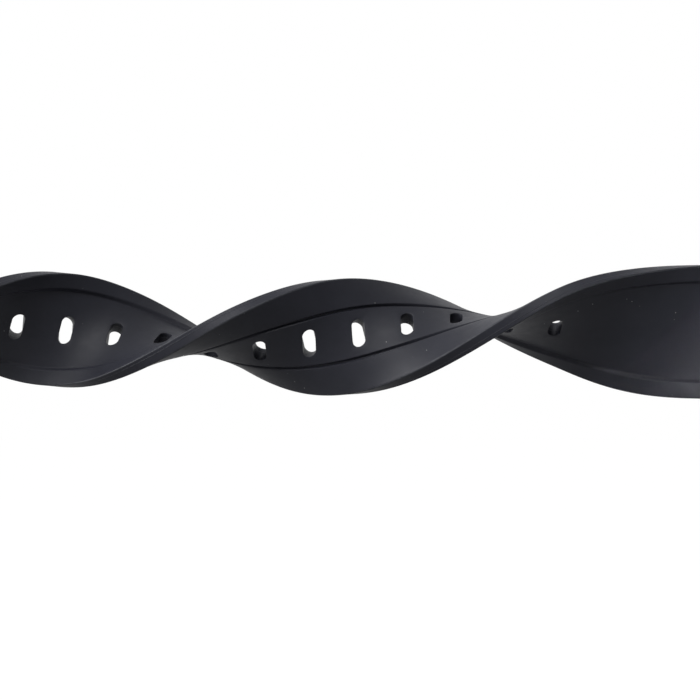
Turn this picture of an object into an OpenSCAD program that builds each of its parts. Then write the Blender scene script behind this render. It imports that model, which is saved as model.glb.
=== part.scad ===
// Two-piece silicone watch strap with slots down its length, spring bars and a pin buckle.
// The long half is twisted a turn and a quarter between the watch and the buckle.
// Its bar stands upright at the origin, and both halves run out along -X.

/* [Strap] */
// Gap between the watch's lugs
lug_w = 20; // [18:0.5:24]
// Clearance between a strap end and each lug
lug_gap = 0.1; // [0.05:0.05:0.3]
// Width of the tail and of the buckle end
tail_w = 16.8; // [15:0.2:17.8]
// Length over which the long half narrows
taper_len = 77; // [50:1:90]
// Thickness along the middle
band_t = 2.3; // [2:0.1:3]
// Height of the side walls
wall_h = 2.1; // [1.7:0.1:2.4]
// Drop of the outer face from its middle band to its edges
crown_drop = 0.9; // [0.5:0.1:1.2]
// Width of the raised border along each edge of the inner face
border_w = 2.3; // [1.5:0.1:3]
// Width of the slope on the border's inner side
border_slope_w = 0.35; // [0.2:0.05:0.8]
// Rise of the border from the side wall to its inner side
border_rise = 0.15; // [0.05:0.05:0.3]
// Rounding of the long edges
edge_r = 0.25; // [0.1:0.05:0.4]
// Distance from the middle to each groove on the outer face
groove_u = 3.7; // [3:0.1:5]
// Width of a groove
groove_w = 0.6; // [0.4:0.1:0.9]
// Depth of a groove
groove_d = 0.45; // [0.2:0.05:0.7]

/* [Slots] */
// Number of slots
slot_count = 16; // [10:1:16]
// Distance from the bar to the first slot
slot_first = 33.4; // [28:0.2:36]
// Distance from one slot to the next
slot_pitch = 7.27; // [6.4:0.01:7.4]
// Length of a slot, across the strap
slot_len = 4.2; // [3:0.1:5]
// Width of a slot, along the strap
slot_w = 2; // [1.5:0.1:2.6]

/* [Twist] */
// Straight length next to the bar
lug_straight = 4; // [3.5:0.5:6]
// Distance from the bar to the end of the twist
twist_end = 131; // [128:0.5:140]
// Length over which the twist builds up next to the bar
lug_ease = 15.6; // [10:0.2:20]
// Length over which the twist dies away at the tail
tail_ease = 5; // [4:0.5:8]
// Share of twist at the bar end
twist_at_bar = 1.55; // [1:0.05:2.5]
// Share of twist at the tail end
twist_at_tail = 3.9; // [3:0.05:4.5]
// Extra share of twist in the middle
twist_bulge = 1.4; // [0:0.1:2]
// Offset of the strap's mid-plane from the line that it twists about
coil_offset = 1.75; // [1:0.05:2.5]
// Shift of the strap's middle across its width from the same line
coil_shift = 0.55; // [0:0.05:1]

/* [Ends] */
// Radius of the knuckle round a lug bar
knuckle_r = 1.8; // [1.6:0.1:2.2]
// Length over which the knuckle blends into the strap
knuckle_blend = 7; // [5:0.5:9]
// Radius of the knuckle round the buckle's bar
hinge_r = 1.6; // [1.4:0.05:1.8]
// Radius of the tail's rounded tip, along the strap
tip_r = 6; // [4:0.5:8]
// Length over which the tail's features fade before its tip
fade_len = 4; // [2:0.5:6]
// Length of the short half from bar to bar
short_len = 76; // [70:1:90]
// Length over which the short half widens next to its lug bar
short_taper = 36; // [25:1:38]
// Length over which the buckle's knuckle blends into the short half
hinge_blend = 5; // [4:0.5:6]

/* [Spring bars] */
// Outer radius of a lug bar's tube
lug_tube_r = 0.9; // [0.75:0.05:0.9]
// Outer radius of the buckle bar's tube
buckle_tube_r = 0.75; // [0.7:0.05:0.8]
// Radius of a lug bar's tips
lug_tip_r = 0.45; // [0.35:0.05:0.5]
// Radius of the buckle bar's tips
buckle_tip_r = 0.4; // [0.3:0.05:0.4]
// Wall of the tubes
tube_wall = 0.29; // [0.2:0.01:0.3]
// Thickness of the turned-in end of a tube
crimp_t = 0.4; // [0.3:0.05:0.6]
// Length of a tip that goes into a lug or into the buckle's frame
tip_len = 1; // [0.8:0.1:1.1]
// Thickness of the flange behind a tip
flange_t = 0.6; // [0.55:0.05:0.7]
// Travel of a tip into the bar
tip_travel = 1.3; // [1.15:0.05:1.5]
// Length of the head that slides in a tube
head_len = 2; // [1.6:0.1:2.4]
// Length of the guide pin inside the spring
guide_len = 1.2; // [0.8:0.1:1.5]
// Radius of the spring wire
wire_r = 0.1; // [0.08:0.01:0.12]
// Turns in a spring
spring_turns = 10; // [8:1:12]
// Radius of a release lever's stem
lever_stem_r = 0.28; // [0.2:0.02:0.3]
// Radius of a release lever's knob
lever_knob_r = 0.7; // [0.5:0.05:0.8]
// Height of the knob
lever_knob_h = 1.1; // [0.8:0.1:1.3]
// Height of the knob above its knuckle
lever_proud = 0.5; // [0.3:0.1:0.8]

/* [Buckle] */
// Thickness of the frame's arms, across the strap
arm_w = 2; // [1.8:0.1:2.4]
// Height of an arm's section
arm_h = 2.2; // [1.8:0.1:2.6]
// Radius of the frame's eyes
eye_r = 1.7; // [1.5:0.05:1.9]
// Distance along the strap from the bar to the frame's cross bar
reach = 8; // [7:0.25:9]
// Radius of the cross bar
cross_r = 1.1; // [0.9:0.05:1.2]
// Rounding of the frame's outer corners
frame_corner_r = 2.5; // [1:0.25:3]
// Depth of the prong's rest in the cross bar
rest_d = 0.4; // [0.2:0.05:0.5]
// Outer radius of the prong's eye
prong_eye_r = 1.45; // [1.3:0.05:1.5]
// Width of the prong's eye
prong_eye_w = 2.3; // [1.8:0.1:2.6]
// Length of the prong from the bar to its tip
prong_len = 12; // [11:0.25:13]
// Thickness of the prong
prong_t = 1; // [0.8:0.05:1.1]
// Width of the prong
prong_w = 1.6; // [1.2:0.1:1.8]

/* [Keepers] */
// Width of a keeper, along the strap
keeper_w = 4; // [3:0.25:4.5]
// Wall of a keeper
keeper_t = 1.5; // [1.2:0.1:1.8]
// Distance from the buckle's bar to the fixed keeper
keeper_x = 7; // [6.5:0.25:8]
// Gap between the two keepers
keeper_gap = 0.5; // [0.3:0.1:1]
// Rounding of a keeper's opening
keeper_corner_r = 0.8; // [0.4:0.1:1.2]
// Depth of the notches that hold the fixed keeper
notch_d = 0.4; // [0.3:0.05:0.6]
// Length of tail beyond the free keeper
tail_past = 1; // [0.5:0.25:4]

/* [Clearances] */
// Gap between pieces that slide past each other
slide_gap = 0.3; // [0.25:0.05:0.5]
// Radial gap of a shaft in its bore
run_gap = 0.05; // [0.03:0.01:0.08]
// Gap beside the tail in the buckle's frame
side_gap = 0.5; // [0.4:0.05:0.8]

/* [Hidden] */
$fn = 48;
silicone = [0.1, 0.1, 0.115];
steel = [0.72, 0.72, 0.74];
spring_steel = [0.6, 0.6, 0.64];
turn = 450;
ring_gap = 1.5;
tip_rings = 7;
overshoot = 1;
overlap = 0.03;

half_t = band_t / 2;
lug_end_w = lug_w - 2 * lug_gap;
wall_low = half_t - crown_drop - wall_h;

// Lengths along the long half
buckle_x = reach + cross_r;
free_x = keeper_x + keeper_w + keeper_gap;
long_len = twist_end + buckle_x + free_x + keeper_w + tail_past;

// Twist, as turn per length and its running sum at even steps
function clamp(q) = min(max(q, 0), 1);
function smooth(q) = clamp(q) * clamp(q) * (3 - 2 * clamp(q));
function mix(a, b, q) = a + (b - a) * q;
function twist_share(s) =
    let (q = clamp(s / twist_end))
    (mix(twist_at_bar, twist_at_tail, q) + twist_bulge * 4 * q * (1 - q))
    * smooth((s - lug_straight) / lug_ease) * smooth((twist_end - s) / tail_ease);
steps = ceil(long_len / 0.5);
step = long_len / steps;
share_sum = [for (i = 0, a = 0; i <= steps; a = a + twist_share((i + 0.5) * step) * step, i = i + 1) a];
share_all = share_sum[steps];
function turn_rate(s) = twist_share(s) * turn / share_all;
radius_2 = coil_offset * coil_offset + coil_shift * coil_shift;
function advance(s) = sqrt(1 - radius_2 * pow(turn_rate(s) * PI / 180, 2));
run_sum = [for (i = 0, a = 0; i <= steps; a = a + advance((i + 0.5) * step) * step, i = i + 1) a];
angle_table = [for (i = [0:steps]) [i * step, share_sum[i] * turn / share_all]];
run_table = [for (i = [0:steps]) [i * step, run_sum[i]]];

// A frame is a point on the strap's mid-plane with its directions along, across and outwards
function unit(v) = v / norm(v);
function twisted_frame(s) =
    let (
        angle = lookup(s, angle_table),
        rate = turn_rate(s) * PI / 180,
        out = [0, cos(angle), sin(angle)],
        side = [0, -sin(angle), cos(angle)],
        along = unit([-advance(s), 0, 0] + rate * coil_offset * side - rate * coil_shift * out),
        across = unit(side - (side * along) * along),
        place = [-lookup(s, run_table), -coil_offset, -coil_shift] + coil_offset * out + coil_shift * side
    )
    [place, along, across, cross(along, across)];

// The flat tail, and the short half beneath it
flat_x = -lookup(twist_end, run_table);
tail_y = -coil_offset - coil_shift;
tail_z = coil_offset - coil_shift;
tail_top = tail_z + half_t;
tail_low = tail_z + wall_low;
pivot_x = flat_x - buckle_x;
crown_at_border = crown(tail_w / 2 - border_w, tail_w / 2);
short_top = tail_low - slide_gap + crown_at_border;
short_z = short_top - half_t;
pivot_z = tail_low - slide_gap - hinge_r;
short_low = short_z + wall_low;
function straight_frame(s) = [[pivot_x - s, tail_y, short_z], [-1, 0, 0], [0, -1, 0], [0, 0, 1]];

// Section of the strap across its length, at half width h, with its features faded by f
function crown(u, h) = crown_drop * pow(clamp((u - groove_u) / (h - groove_u)), 1.5);
function half_section(h, f, top, low) =
    let (
        wide = max(h, 0.01),
        edge = min(edge_r, wide / 4),
        lip = min(border_w, wide * 0.5),
        groove = min(groove_u, wide * 0.45),
        half_groove = min(groove_w / 2, wide * 0.05),
        wing = (groove + wide) / 2,
        bottom = mix(low, wall_low, f),
        drop = f * crown_drop,
        floor_z = mix(low, -half_t, f)
    )
    [
        [groove - half_groove, top],
        [groove, top - f * groove_d],
        [groove + half_groove, top - f * crown(groove + half_groove, wide)],
        [wing, top - f * crown(wing, wide)],
        [wide - edge, top - f * crown(wide - edge, wide)],
        [wide, top - drop - edge],
        [wide, bottom + edge],
        [wide - edge, bottom],
        [wide - lip, bottom + f * border_rise],
        [wide - lip - border_slope_w * wide * 2 / tail_w, floor_z]
    ];
function section(h, f, top, low) =
    let (right = half_section(h, f, top, low), n = len(right))
    concat(right, [for (i = [n - 1:-1:0]) [-right[i].x, right[i].y]]);
function placed(frame, outline) =
    [for (p = outline) frame[0] + p.x * frame[2] + p.y * frame[3]];

// A closed skin over rings of points, each end a fan round its middle
module skin(rings, first_mid, last_mid) {
    n = len(rings[0]);
    last = len(rings) - 1;
    points = concat([for (ring = rings) each ring], [first_mid, last_mid]);
    sides = [
        for (i = [0:last - 1], j = [0:n - 1])
            let (a = i * n + j, b = i * n + (j + 1) % n)
            each [[a, b, b + n], [a, b + n, a + n]]
    ];
    first_cap = [for (j = [0:n - 1]) [(j + 1) % n, j, len(points) - 2]];
    last_cap = [for (j = [0:n - 1]) [last * n + j, last * n + (j + 1) % n, len(points) - 1]];
    polyhedron(points, concat(sides, first_cap, last_cap));
}

function taper(s) = mix(lug_end_w, tail_w, smooth(s / taper_len)) / 2;

// Long half, from its lug bar to the rounded tip
function tip_width(s) =
    let (q = clamp((s - long_len + tip_r) / tip_r))
    sqrt(1 - q * q * 0.96);
function long_section(s) =
    let (
        blend = smooth(s / knuckle_blend),
        swell = knuckle_r - overlap,
        fade = min(blend, smooth((long_len - tip_r - s) / fade_len))
    )
    section(taper(s) * tip_width(s), fade, mix(swell, half_t, blend), mix(-swell, -half_t, blend));
long_rings = ceil((long_len - tip_r) / ring_gap);
long_steps = concat(
    [for (i = [0:long_rings]) i * (long_len - tip_r) / long_rings],
    [for (i = [1:tip_rings]) long_len - tip_r + tip_r * sin(90 * i / tip_rings)]
);
module long_body() {
    rings = [for (s = long_steps) placed(twisted_frame(s), long_section(s))];
    skin(rings, twisted_frame(0)[0], twisted_frame(long_len)[0]);
}

// Puts children drawn at the origin into a frame, with X along, Y across and Z outwards
module at_frame(frame) {
    o = frame[0];
    a = frame[1];
    b = frame[2];
    c = frame[3];
    multmatrix([
        [a.x, b.x, c.x, o.x],
        [a.y, b.y, c.y, o.y],
        [a.z, b.z, c.z, o.z],
        [0, 0, 0, 1]
    ])
        children();
}

module slot_cutter() {
    straight = slot_len - slot_w;
    linear_extrude(band_t + 2 * overshoot, center = true) {
        square([slot_w, straight], center = true);
        for (side = [-1, 1])
            translate([0, side * straight / 2])
                circle(d = slot_w);
    }
}

// Pocket in a knuckle's inner side for the release lever, drawn for a bar along Z with +Y outwards
lever_rest = head_in(lug_end_w / 2) + head_len / 2;
pocket_end = lever_knob_r + slide_gap;
module lever_pocket() {
    pocket_w = 2 * (lug_tube_r + run_gap);
    translate([-pocket_w / 2, -knuckle_r - overshoot, -lever_rest - pocket_end])
        cube([pocket_w, knuckle_r + overshoot, tip_travel + 2 * pocket_end]);
}

module long_strap() {
    color(silicone)
        difference() {
            union() {
                long_body();
                cylinder(r = knuckle_r, h = lug_end_w - 2 * overlap, center = true);
            }
            cylinder(r = lug_tube_r + run_gap, h = lug_end_w + 2 * overshoot, center = true);
            lever_pocket();
            for (i = [0:slot_count - 1])
                at_frame(twisted_frame(slot_first + i * slot_pitch))
                    slot_cutter();
        }
}

// Short half, from the buckle's bar to its own lug bar
function short_section(s) =
    let (
        from_lug = short_len - s,
        blend = min(smooth(from_lug / knuckle_blend), smooth(s / hinge_blend)),
        swell = s < short_len / 2 ? hinge_r - overlap : knuckle_r - overlap,
        middle = s < short_len / 2 ? pivot_z - short_z : 0,
        half_w = mix(lug_end_w, tail_w, smooth(from_lug / short_taper)) / 2
    )
    section(half_w, blend, mix(middle + swell, half_t, blend), mix(middle - swell, -half_t, blend));
short_steps = concat(
    [for (i = [0:3]) hinge_blend * i / 4],
    [for (i = [0:9]) mix(hinge_blend, short_len - knuckle_blend, i / 9)],
    [for (i = [1:4]) short_len - knuckle_blend + knuckle_blend * i / 4]
);
module short_body() {
    rings = [for (s = short_steps) placed(straight_frame(s), short_section(s))];
    skin(rings, [pivot_x, tail_y, pivot_z], straight_frame(short_len)[0]);
}

short_bar_x = pivot_x - short_len;
// Puts children drawn round a bar along Z, with +Y outwards, at one of the cross-wise bars
module at_short_bar() {
    at_frame([[short_bar_x, tail_y, short_z], [1, 0, 0], [0, 0, 1], [0, -1, 0]])
        children();
}
module at_buckle_bar() {
    at_frame([[pivot_x, tail_y, pivot_z], [1, 0, 0], [0, 0, 1], [0, -1, 0]])
        children();
}

prong_slot_w = prong_eye_w + 2 * run_gap;
module short_strap() {
    color(silicone)
        difference() {
            union() {
                short_body();
                at_buckle_bar()
                    cylinder(r = hinge_r, h = tail_w - 2 * overlap, center = true);
                at_short_bar()
                    cylinder(r = knuckle_r, h = lug_end_w - 2 * overlap, center = true);
            }
            at_buckle_bar()
                cylinder(r = buckle_tube_r + run_gap, h = tail_w + 2 * overshoot, center = true);
            at_buckle_bar()
                translate([-prong_eye_r - slide_gap, -4 * hinge_r, -prong_slot_w / 2])
                    cube([2 * prong_eye_r + 2 * slide_gap + overshoot, 8 * hinge_r, prong_slot_w]);
            at_short_bar()
                cylinder(r = lug_tube_r + run_gap, h = lug_end_w + 2 * overshoot, center = true);
            at_short_bar()
                lever_pocket();
            for (side = [-1, 1])
                translate([
                    pivot_x - keeper_x - keeper_w - run_gap,
                    tail_y + side * tail_w / 2 - (side > 0 ? notch_d : overshoot),
                    short_low - overshoot
                ])
                    cube([
                        keeper_w + 2 * run_gap,
                        notch_d + overshoot,
                        short_top - short_low + 2 * overshoot
                    ]);
        }
}

// Spring bars, drawn along Z round the origin with the moving tips at both ends
function bore_r(tube_r) = tube_r - tube_wall;
function tube_half(half_w) = half_w - flange_t - tip_travel - run_gap;
function head_in(half_w) = tube_half(half_w) - crimp_t - head_len;

module bar_tube(tube_r, tip_r, half_w) {
    half = tube_half(half_w);
    difference() {
        cylinder(r = tube_r, h = 2 * half, center = true);
        cylinder(r = bore_r(tube_r), h = 2 * (half - crimp_t), center = true);
        cylinder(r = tip_r + run_gap, h = 2 * half + overshoot, center = true);
    }
}

// Tip at the +Z end, with its flange, neck, sliding head and guide pin
module bar_tip(tube_r, tip_r, half_w, out_len) {
    head_start = head_in(half_w);
    translate([0, 0, half_w])
        cylinder(r = tip_r, h = out_len);
    translate([0, 0, half_w - flange_t])
        cylinder(r = (tube_r + tip_r) / 2, h = flange_t);
    translate([0, 0, head_start + head_len])
        cylinder(r = tip_r, h = half_w - flange_t - head_start - head_len);
    translate([0, 0, head_start])
        cylinder(r = bore_r(tube_r) - run_gap, h = head_len);
    translate([0, 0, head_start - guide_len])
        cylinder(r = bore_r(tube_r) - run_gap - 2 * wire_r - 2 * run_gap, h = guide_len);
}

// Spring as one wire along a helix between the heads
wire_sides = 6;
rings_per_turn = 8;
module bar_spring(tube_r, half_w) {
    coil_r = bore_r(tube_r) - run_gap - wire_r;
    half = head_in(half_w) - wire_r;
    count = spring_turns * rings_per_turn;
    rise = 2 * half / count;
    slope = atan(rise * rings_per_turn / (2 * PI * coil_r));
    rings = [
        for (i = [0:count])
            let (
                a = 360 * i / rings_per_turn,
                middle = [coil_r * cos(a), coil_r * sin(a), -half + rise * i],
                out = [cos(a), sin(a), 0],
                up = [sin(a) * sin(slope), -cos(a) * sin(slope), cos(slope)]
            )
            [for (j = [0:wire_sides - 1])
                let (b = -360 * j / wire_sides)
                middle + wire_r * (cos(b) * out + sin(b) * up)]
    ];
    last_turn = 360 * spring_turns;
    skin(rings, [coil_r, 0, -half], [coil_r * cos(last_turn), coil_r * sin(last_turn), half]);
}

lug_half = lug_end_w / 2;
buckle_half = tail_w / 2;

// Lug bar's tube, with the lever's slot on its inner side
module lug_tube() {
    difference() {
        bar_tube(lug_tube_r, lug_tip_r, lug_half);
        lever_slot();
    }
}
module lever_slot() {
    half = lever_stem_r + run_gap;
    translate([-half, -2 * lug_tube_r, -lever_rest - half])
        cube([2 * half, 2 * lug_tube_r, tip_travel + 2 * half]);
}
module lever_tip() {
    difference() {
        mirror([0, 0, 1])
            bar_tip(lug_tube_r, lug_tip_r, lug_half, tip_len);
        translate([0, 0, -lever_rest])
            rotate([90, 0, 0])
                cylinder(r = lever_stem_r, h = 4 * lug_tube_r, center = true);
    }
}
module lever() {
    translate([0, 0, -lever_rest])
        rotate([90, 0, 0]) {
            knob_start = knuckle_r + lever_proud - lever_knob_h;
            translate([0, 0, -lug_tube_r / 3])
                cylinder(r = lever_stem_r, h = lug_tube_r / 3 + knob_start);
            translate([0, 0, knob_start])
                cylinder(r = lever_knob_r, h = lever_knob_h);
        }
}

module long_bar_tube() {
    color(steel)
        lug_tube();
}
module long_bar_spring() {
    color(spring_steel)
        bar_spring(lug_tube_r, lug_half);
}
module long_bar_tip_top() {
    color(steel)
        bar_tip(lug_tube_r, lug_tip_r, lug_half, tip_len);
}
module long_bar_tip_bottom() {
    color(steel)
        lever_tip();
}
module long_bar_lever() {
    color(steel)
        lever();
}

module short_bar_tube() {
    color(steel)
        at_short_bar()
            lug_tube();
}
module short_bar_spring() {
    color(spring_steel)
        at_short_bar()
            bar_spring(lug_tube_r, lug_half);
}
module short_bar_tip_left() {
    color(steel)
        at_short_bar()
            bar_tip(lug_tube_r, lug_tip_r, lug_half, tip_len);
}
module short_bar_tip_right() {
    color(steel)
        at_short_bar()
            lever_tip();
}
module short_bar_lever() {
    color(steel)
        at_short_bar()
            lever();
}

module buckle_bar_tube() {
    color(steel)
        at_buckle_bar()
            bar_tube(buckle_tube_r, buckle_tip_r, buckle_half);
}
module buckle_bar_spring() {
    color(spring_steel)
        at_buckle_bar()
            bar_spring(buckle_tube_r, buckle_half);
}
module buckle_bar_tip_left() {
    color(steel)
        at_buckle_bar()
            bar_tip(buckle_tube_r, buckle_tip_r, buckle_half, side_gap + tip_len);
}
module buckle_bar_tip_right() {
    color(steel)
        at_buckle_bar()
            mirror([0, 0, 1])
                bar_tip(buckle_tube_r, buckle_tip_r, buckle_half, side_gap + tip_len);
}

// Buckle frame, drawn from the side in the XZ plane and given its width along Y
frame_half = tail_w / 2 + side_gap;
cross_z = tail_top + slide_gap + cross_r - pivot_z;
function curve(a, b, c, q) = (1 - q) * (1 - q) * a + 2 * q * (1 - q) * b + q * q * c;
arm_bend = [reach * 0.2, cross_z * 0.9];
arm_steps = 12;
module side_shape(width) {
    translate([pivot_x, tail_y, pivot_z])
        rotate([90, 0, 0])
            linear_extrude(width, center = true)
                children();
}
module arm_outline() {
    points = [for (i = [0:arm_steps]) curve([0, 0], arm_bend, [reach, cross_z], i / arm_steps)];
    ways = [
        for (i = [0:arm_steps])
            unit(points[min(i + 1, arm_steps)] - points[max(i - 1, 0)])
    ];
    upper = [for (i = [0:arm_steps]) points[i] + arm_h / 2 * [-ways[i].y, ways[i].x]];
    lower = [for (i = [arm_steps:-1:0]) points[i] - arm_h / 2 * [-ways[i].y, ways[i].x]];
    polygon(concat(upper, lower));
    circle(r = eye_r);
    translate([reach, cross_z])
        circle(r = cross_r);
}
module frame_plan() {
    width = 2 * (frame_half + arm_w);
    length = 2 * (buckle_x + eye_r);
    translate([flat_x - length / 2, tail_y, pivot_z - 2 * eye_r])
        linear_extrude(cross_z + 4 * eye_r)
            rounded(length, width, frame_corner_r);
}
module buckle_frame() {
    color(steel)
        difference() {
            intersection() {
                union() {
                    for (side = [-1, 1])
                        translate([0, side * (frame_half + arm_w / 2), 0])
                            side_shape(arm_w)
                                arm_outline();
                    side_shape(2 * frame_half + arm_w)
                        translate([reach, cross_z])
                            circle(r = cross_r);
                }
                frame_plan();
            }
            at_buckle_bar()
                cylinder(
                    r = buckle_tip_r + run_gap,
                    h = 2 * (frame_half + tip_len + run_gap),
                    center = true
                );
            side_shape(prong_w + 4 * run_gap)
                translate([reach, cross_z + cross_r])
                    square([4 * cross_r, 2 * rest_d], center = true);
        }
}

// Prong, a flat tongue on an eye round the buckle's bar
module buckle_prong() {
    color(steel)
        difference() {
            union() {
                side_shape(prong_eye_w)
                    circle(r = prong_eye_r);
                side_shape(prong_w) {
                    translate([0, -prong_t / 2])
                        square([prong_len - prong_t, prong_t]);
                    translate([prong_len - prong_t, 0])
                        circle(r = prong_t / 2);
                }
            }
            side_shape(prong_eye_w + overshoot)
                circle(r = buckle_tube_r + run_gap);
        }
}

// Keepers, loops round both halves
keeper_half = tail_w / 2 + slide_gap;
keeper_low = short_low - slide_gap;
keeper_high = tail_top + slide_gap;
module rounded(width, height, radius) {
    square([width - 2 * radius, height], center = true);
    square([width, height - 2 * radius], center = true);
    for (x = [-1, 1], y = [-1, 1])
        translate([x * (width / 2 - radius), y * (height / 2 - radius)])
            circle(r = radius);
}
module loop_at(distance) {
    height = keeper_high - keeper_low;
    outer_r = keeper_corner_r + keeper_t;
    translate([pivot_x - distance - keeper_w / 2, tail_y, (keeper_high + keeper_low) / 2])
        rotate([90, 0, 90])
            linear_extrude(keeper_w, center = true)
                difference() {
                    rounded(2 * (keeper_half + keeper_t), height + 2 * keeper_t, outer_r);
                    rounded(2 * keeper_half, height, keeper_corner_r);
                }
}
// Rib inside the fixed keeper, which sits in a notch of the short half
module keeper_rib(side) {
    inner = tail_w / 2 - notch_d + run_gap;
    outer = keeper_half + run_gap;
    translate([
        pivot_x - keeper_x - keeper_w / 2,
        tail_y + side * (inner + outer) / 2,
        short_low + wall_h / 2
    ])
        cube([keeper_w, outer - inner, wall_h - 2 * edge_r], center = true);
}
module fixed_keeper() {
    color(silicone) {
        loop_at(keeper_x);
        for (side = [-1, 1])
            keeper_rib(side);
    }
}
module free_keeper() {
    color(silicone)
        loop_at(free_x);
}

long_strap();
long_bar_tube();
long_bar_spring();
long_bar_tip_top();
long_bar_tip_bottom();
long_bar_lever();
short_strap();
short_bar_tube();
short_bar_spring();
short_bar_tip_left();
short_bar_tip_right();
short_bar_lever();
buckle_frame();
buckle_prong();
buckle_bar_tube();
buckle_bar_spring();
buckle_bar_tip_left();
buckle_bar_tip_right();
fixed_keeper();
free_keeper();
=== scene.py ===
import math

import bmesh
import bpy
from mathutils import Matrix, Vector


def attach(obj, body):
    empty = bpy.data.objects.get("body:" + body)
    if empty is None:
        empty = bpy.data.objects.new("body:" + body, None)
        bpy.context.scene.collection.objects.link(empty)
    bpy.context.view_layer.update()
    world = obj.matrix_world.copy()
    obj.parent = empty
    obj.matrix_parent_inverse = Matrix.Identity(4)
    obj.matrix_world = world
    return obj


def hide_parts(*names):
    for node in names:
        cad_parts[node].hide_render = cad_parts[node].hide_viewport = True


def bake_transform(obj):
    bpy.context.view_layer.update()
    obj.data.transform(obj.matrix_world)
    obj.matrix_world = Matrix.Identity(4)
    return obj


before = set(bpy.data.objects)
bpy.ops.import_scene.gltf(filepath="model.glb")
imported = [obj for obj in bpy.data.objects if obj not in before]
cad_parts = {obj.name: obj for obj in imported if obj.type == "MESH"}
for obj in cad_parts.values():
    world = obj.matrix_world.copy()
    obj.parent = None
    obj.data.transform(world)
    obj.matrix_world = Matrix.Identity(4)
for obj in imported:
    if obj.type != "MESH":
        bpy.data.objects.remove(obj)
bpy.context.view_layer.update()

# Long half of the strap: one piece of moulded black silicone, slotted down its middle, with
# two grooves outside and a raised border along each edge inside. It is moulded flat, hangs
# on the watch's bar at the origin, and is held with a turn and a quarter of twist in it.
mm = 0.001
half_t = 1.15
tail_half_w = 8.4
lug_half_w = 9.9
taper_len = 77
long_len = 156.6
tip_r = 6
fade_len = 4
knuckle_r = 1.8
knuckle_blend = 7
edge_r = 0.25
slot_rim_r = 0.08
slot_first, slot_pitch, slot_count = 33.4, 7.27, 16
slot_w, slot_straight = 1.88, 2.2
slot_room_s, slot_room_u = 1.5, 2.7
crown_drop = 0.9
groove_u, groove_half, groove_d = 3.7, 0.3, 0.45
middle_side, border_side = 4.1, 5.55
border_w, border_slope, border_rise, border_drop = 2.3, 0.35, 0.15, 0.7
lip_r = 0.08
lug_cup, cup_ease, cup_end, cup_fade = 1.1, 8, 33, 20
weld = 0.004


def clamp(q):
    return min(max(q, 0.0), 1.0)


def smooth(q):
    q = clamp(q)
    return q * q * (3 - 2 * q)


def mix(a, b, q):
    return a + (b - a) * q


# Lines along the strap, close together where the grooves and the borders turn.
half_lines = [
    0.7, 1.4, 2.1, 2.7, 3.1, 3.3, 3.38, 3.44, 3.5, 3.56, 3.63, 3.7, 3.77, 3.84, 3.9, 3.96, 4.02,
    middle_side, 4.45, 4.9, 5.3, border_side, 5.66, 5.74, 5.82, 5.9, 5.98, 6.06, 6.14, 6.26, 6.7,
    7.2, 7.7, 8.1, tail_half_w,
]
strap_lines = [-u for u in reversed(half_lines)] + [0] + half_lines


def even(start, end, count):
    return [mix(start, end, i / count) for i in range(count)]


def flat_slab(stations, slot_places):
    """A slab as wide as the tail, with its slots, before any moulded detail."""
    slab = bmesh.new()
    columns, rows = len(stations) - 1, len(strap_lines) - 1
    bmesh.ops.create_grid(slab, x_segments=columns, y_segments=rows, size=1)
    for v in slab.verts:
        column = round((v.co.x + 1) / 2 * columns)
        row = round((v.co.y + 1) / 2 * rows)
        v.co = stations[column], strap_lines[row], half_t
    for s in slot_places:
        patch, square = [], []
        for f in slab.faces:
            middle = f.calc_center_median()
            if abs(middle.x - s) < slot_room_s and abs(middle.y) < slot_room_u:
                patch.append(f)
        bmesh.ops.delete(slab, geom=patch, context="FACES")
        for e in slab.edges:
            a, b = e.verts[0].co, e.verts[1].co
            near = max(abs(a.x - s), abs(b.x - s)) < slot_room_s + 0.01
            if e.is_boundary and near and max(abs(a.y), abs(b.y)) < slot_room_u + 0.01:
                square.append(e)
        oval = bmesh.ops.create_circle(
            slab, segments=len(square), radius=slot_w / 2, matrix=Matrix.Translation((s, 0, slot_w))
        )["verts"]
        for v in oval:
            if abs(v.co.y) > 0.001:
                v.co.y += math.copysign(slot_straight / 2, v.co.y)
        around = {e for v in oval for e in v.link_edges}
        bmesh.ops.bridge_loops(slab, edges=square + list(around))
        for v in oval:
            v.co.z = half_t
    under = bmesh.ops.extrude_face_region(slab, geom=slab.faces[:])["geom"]
    under = [v for v in under if isinstance(v, bmesh.types.BMVert)]
    bmesh.ops.translate(slab, verts=under, vec=(0, 0, -2 * half_t))
    bmesh.ops.recalc_face_normals(slab, faces=slab.faces)
    return slab


def open_end(slab, station):
    """Takes the wall off an end that is going to close round a bar."""
    wall = [f for f in slab.faces if all(abs(v.co.x - station) < 0.001 for v in f.verts)]
    bmesh.ops.delete(slab, geom=wall, context="FACES_ONLY")


def mark_rims(rounded, rim_mark):
    """Marks the middle of a rounded rim, and leaves the two lines where it ends."""
    faces = set(rounded["faces"])
    for v in rounded["verts"]:
        v[rim_mark] = float(all(f in faces for f in v.link_faces))


def round_rims(slab, end):
    """Rounds the outline and the slots' rims, and marks them for the finish."""
    rim_mark = slab.verts.layers.float.new("rim")
    outline, slots = [], []
    for e in slab.edges:
        a, b = e.verts[0].co, e.verts[1].co
        if len(e.link_faces) == 2 and abs(a.z - b.z) < 0.001 and e.calc_face_angle() > 1:
            on_side = min(abs(a.y), abs(b.y)) > tail_half_w - 0.001
            on_end = min(a.x, b.x) > end - 0.001
            (outline if on_side or on_end else slots).append(e)
    for edges, radius, segments in ((slots, slot_rim_r, 3), (outline, edge_r, 4)):
        if edges:
            rounded = bmesh.ops.bevel(
                slab, geom=edges, offset=radius, segments=segments, profile=0.5,
                affect="EDGES", material=-1,
            )
            mark_rims(rounded, rim_mark)
    level = slab.loops.layers.uv.new("level")
    for f in slab.faces:
        for corner in f.loops:
            corner[level].uv = corner.vert.co.xz


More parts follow.
